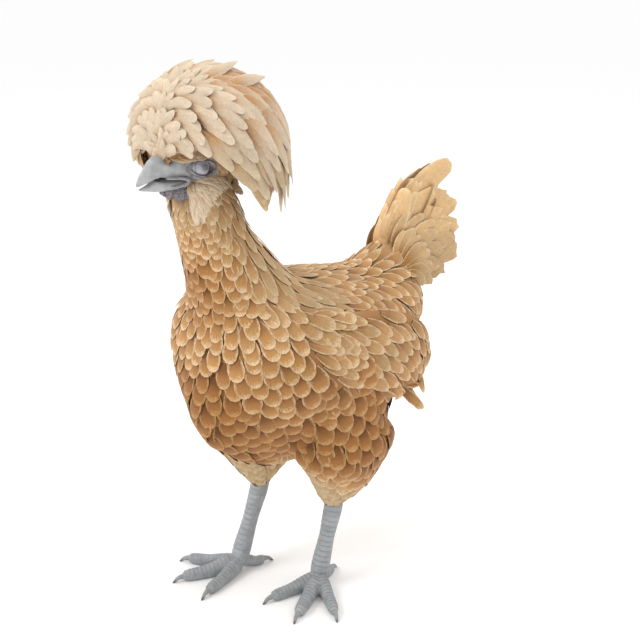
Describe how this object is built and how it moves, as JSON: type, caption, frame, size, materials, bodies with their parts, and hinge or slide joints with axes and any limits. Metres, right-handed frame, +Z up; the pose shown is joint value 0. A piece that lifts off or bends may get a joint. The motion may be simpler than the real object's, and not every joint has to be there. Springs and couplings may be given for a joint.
{
  "type": "polish crested hen, still life-size model",
  "caption": "Standing crested hen with a domed feather crest, cheek muffs, fanned upright tail, scaled shanks and clawed toes, as a still life-size model.",
  "frame": {"origin": "centre of the hen's box at floor level, between and under the body", "axes": "+Z up, bill towards -Y, the hen's left side towards +X"},
  "size_m": [0.1758, 0.3615, 0.4396],
  "materials": {
    "buff_plumage": "golden-buff contour feathers with pale laced edges, soft and dull",
    "cream_plumage": "pale cream feathers and down, soft and dull",
    "scaled_skin": "slate-grey horny scutes, satin",
    "horn": "slate-grey horn of the bill and the claws, satin",
    "eye": "dark grey iris under a wet clear surface",
    "bare_skin": "greyish-purple wrinkled skin of the wattles, dull"
  },
  "bodies": {
    "root": {"torso": "buff_plumage", "neck": "buff_plumage", "head": "cream_plumage", "bill_upper": "horn", "bill_lower": "horn", "eye_left": "eye", "eye_right": "eye", "wattle_left": "bare_skin", "wattle_right": "bare_skin", "muff_left": "cream_plumage", "muff_right": "cream_plumage", "crest_left": "cream_plumage", "crest_right": "cream_plumage", "wing_left": "buff_plumage", "wing_right": "buff_plumage", "tail": "cream_plumage", "thigh_left": "cream_plumage", "thigh_right": "cream_plumage", "shank_left": "scaled_skin", "shank_right": "scaled_skin", "toe_left_inner": "scaled_skin", "toe_left_middle": "scaled_skin", "toe_left_outer": "scaled_skin", "toe_left_hind": "scaled_skin", "toe_right_inner": "scaled_skin", "toe_right_middle": "scaled_skin", "toe_right_outer": "scaled_skin", "toe_right_hind": "scaled_skin", "claw_left_inner": "horn", "claw_left_middle": "horn", "claw_left_outer": "horn", "claw_left_hind": "horn", "claw_right_inner": "horn", "claw_right_middle": "horn", "claw_right_outer": "horn", "claw_right_hind": "horn"}
  },
  "joints": []
}
